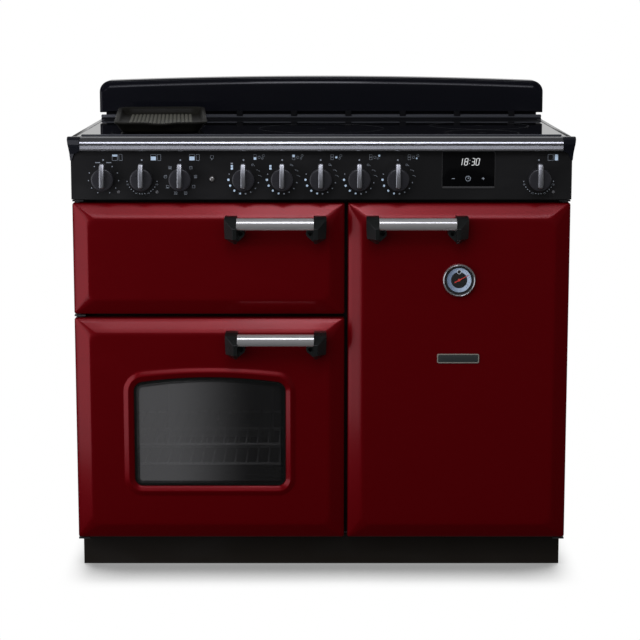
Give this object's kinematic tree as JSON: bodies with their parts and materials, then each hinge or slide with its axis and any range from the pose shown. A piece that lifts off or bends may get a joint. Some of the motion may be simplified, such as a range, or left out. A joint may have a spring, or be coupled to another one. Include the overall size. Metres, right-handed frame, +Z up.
{
  "type": "induction range cooker",
  "caption": "Free-standing range cooker with a glass induction hob, low splashback, side-hung oven doors with bar handles, rotary controls, clock display, dial thermometer and cast griddle.",
  "frame": {"origin": "on the floor under the middle of the cooker's box", "axes": "+X to the cooker's right as seen from the front, +Y to its back, +Z up"},
  "size_m": [1, 0.66, 0.983],
  "materials": {
    "door_enamel": "deep red gloss enamel",
    "black_enamel": "black satin enamel",
    "hob_glass": "polished black ceramic glass",
    "steel_trim": "polished steel trim",
    "handle_steel": "fine brushed stainless steel",
    "bracket_black": "black gloss casting",
    "cap_black": "moulded black plastic",
    "knob": "black skirt with a satin silver bar",
    "button_chrome": "chromed cap",
    "display": "smoked display window",
    "oven_enamel": "speckled grey vitreous enamel",
    "rack_chrome": "chromed wire",
    "galvanised": "zinc coated sheet",
    "window_glass": "smoked oven glass",
    "seal": "woven silicone seal",
    "mineral_wool": "mineral wool blanket",
    "element": "sheathed heating rod",
    "copper": "wound copper coil",
    "circuit_board": "circuit board with aluminium fins",
    "motor": "cast motor body",
    "fan_steel": "pressed fan wheel",
    "cast_griddle": "black cast plate",
    "switch_plastic": "moulded switch body",
    "foot": "moulded foot on a steel stem",
    "hinge_steel": "plated hinge plate and pin",
    "gauge_chrome": "chromed gauge case",
    "needle_red": "red needle",
    "lamp_glass": "frosted lamp lens"
  },
  "bodies": {
    "cooker_body": {"base_tray": "galvanised", "levelling_feet": "foot", "plinth": "black_enamel", "left_side_panel": "black_enamel", "right_side_panel": "black_enamel", "rear_panel": "galvanised", "front_frame": "black_enamel", "terminal_box": "switch_plastic", "main_oven_cavity": "oven_enamel", "tall_oven_cavity": "oven_enamel", "grill_chamber": "oven_enamel", "oven_insulation": "mineral_wool", "oven_door_seals": "seal", "heating_elements": "element", "grill_pan": "oven_enamel", "shelf_guides": "rack_chrome", "main_oven_racks": "rack_chrome", "tall_oven_racks": "rack_chrome", "fan_covers": "oven_enamel", "fan_motors": "motor", "oven_lamps": "lamp_glass", "hob_tray": "galvanised", "hob_glass": "hob_glass", "hob_trim": "steel_trim", "trim_end_caps": "cap_black", "induction_coils": "copper", "induction_boards": "circuit_board", "splashback": "black_enamel", "control_fascia": "black_enamel", "timer_display": "display", "control_switches": "switch_plastic", "hinge_pins": "hinge_steel"},
    "grill_door": {"grill_door_panel": "door_enamel", "grill_door_liner": "oven_enamel", "grill_door_handle_bar": "handle_steel", "grill_door_handle_brackets": "bracket_black"},
    "main_oven_door": {"main_door_panel": "door_enamel", "main_door_liner": "oven_enamel", "main_door_glass": "window_glass", "main_door_handle_bar": "handle_steel", "main_door_handle_brackets": "bracket_black"},
    "tall_oven_door": {"tall_door_panel": "door_enamel", "tall_door_liner": "oven_enamel", "tall_door_handle_bar": "handle_steel", "tall_door_handle_brackets": "bracket_black", "thermometer": "gauge_chrome"},
    "thermometer_needle": {"thermometer_needle": "needle_red"},
    "light_button": {"light_button": "button_chrome"},
    "griddle": {"griddle": "cast_griddle"},
    "main_oven_fan": {"main_oven_fan": "fan_steel"},
    "tall_oven_fan": {"tall_oven_fan": "fan_steel"},
    "grill_knob": {"grill_knob": "knob"},
    "main_oven_temperature_knob": {"main_oven_temperature_knob": "knob"},
    "main_oven_function_knob": {"main_oven_function_knob": "knob"},
    "left_rear_zone_knob": {"left_rear_zone_knob": "knob"},
    "left_front_zone_knob": {"left_front_zone_knob": "knob"},
    "centre_zone_knob": {"centre_zone_knob": "knob"},
    "right_front_zone_knob": {"right_front_zone_knob": "knob"},
    "right_rear_zone_knob": {"right_rear_zone_knob": "knob"},
    "tall_oven_temperature_knob": {"tall_oven_temperature_knob": "knob"}
  },
  "joints": [
    {"name": "grill_door_hinge", "type": "hinge", "parent": "cooker_body", "child": "grill_door", "pos_m": [-0.483, -0.249, 0.6465], "axis": [0, 0, -1], "range_deg": [0, 100]},
    {"name": "main_oven_door_hinge", "type": "hinge", "parent": "cooker_body", "child": "main_oven_door", "pos_m": [-0.483, -0.249, 0.3005], "axis": [0, 0, -1], "range_deg": [0, 100]},
    {"name": "tall_oven_door_hinge", "type": "hinge", "parent": "cooker_body", "child": "tall_oven_door", "pos_m": [0.483, -0.249, 0.416], "axis": [0, 0, 1], "range_deg": [0, 100]},
    {"name": "thermometer_needle_turn", "type": "hinge", "parent": "tall_oven_door", "child": "thermometer_needle", "pos_m": [0.2732, -0.2825, 0.606], "axis": [0, 1, 0], "range_deg": [-197, 73]},
    {"name": "light_button_press", "type": "slide", "parent": "cooker_body", "child": "light_button", "axis": [0, 1, 0], "range_m": [0, 0.003], "stiffness_N_per_m": 400},
    {"name": "griddle_lift", "type": "slide", "parent": "cooker_body", "child": "griddle", "axis": [0, 0, 1], "range_m": [0, 0.2]},
    {"name": "main_oven_fan_spin", "type": "hinge", "parent": "cooker_body", "child": "main_oven_fan", "pos_m": [-0.224, 0.15, 0.3035], "axis": [0, 1, 0], "continuous": true},
    {"name": "tall_oven_fan_spin", "type": "hinge", "parent": "cooker_body", "child": "tall_oven_fan", "pos_m": [0.2732, 0.15, 0.419], "axis": [0, 1, 0], "continuous": true},
    {"name": "grill_knob_turn", "type": "hinge", "parent": "cooker_body", "child": "grill_knob", "pos_m": [-0.43, -0.28, 0.807], "axis": [0, 1, 0], "range_deg": [-150, 150]},
    {"name": "main_oven_temperature_knob_turn", "type": "hinge", "parent": "cooker_body", "child": "main_oven_temperature_knob", "pos_m": [-0.354, -0.28, 0.807], "axis": [0, 1, 0], "range_deg": [0, 260]},
    {"name": "main_oven_function_knob_turn", "type": "hinge", "parent": "cooker_body", "child": "main_oven_function_knob", "pos_m": [-0.278, -0.28, 0.807], "axis": [0, 1, 0], "range_deg": [0, 320]},
    {"name": "left_rear_zone_knob_turn", "type": "hinge", "parent": "cooker_body", "child": "left_rear_zone_knob", "pos_m": [-0.1535, -0.28, 0.807], "axis": [0, 1, 0], "range_deg": [0, 320]},
    {"name": "left_front_zone_knob_turn", "type": "hinge", "parent": "cooker_body", "child": "left_front_zone_knob", "pos_m": [-0.0775, -0.28, 0.807], "axis": [0, 1, 0], "range_deg": [0, 320]},
    {"name": "centre_zone_knob_turn", "type": "hinge", "parent": "cooker_body", "child": "centre_zone_knob", "pos_m": [-0.0015, -0.28, 0.807], "axis": [0, 1, 0], "range_deg": [0, 320]},
    {"name": "right_front_zone_knob_turn", "type": "hinge", "parent": "cooker_body", "child": "right_front_zone_knob", "pos_m": [0.0745, -0.28, 0.807], "axis": [0, 1, 0], "range_deg": [0, 320]},
    {"name": "right_rear_zone_knob_turn", "type": "hinge", "parent": "cooker_body", "child": "right_rear_zone_knob", "pos_m": [0.1505, -0.28, 0.807], "axis": [0, 1, 0], "range_deg": [0, 320]},
    {"name": "tall_oven_temperature_knob_turn", "type": "hinge", "parent": "cooker_body", "child": "tall_oven_temperature_knob", "pos_m": [0.4285, -0.28, 0.807], "axis": [0, 1, 0], "range_deg": [0, 260]}
  ]
}
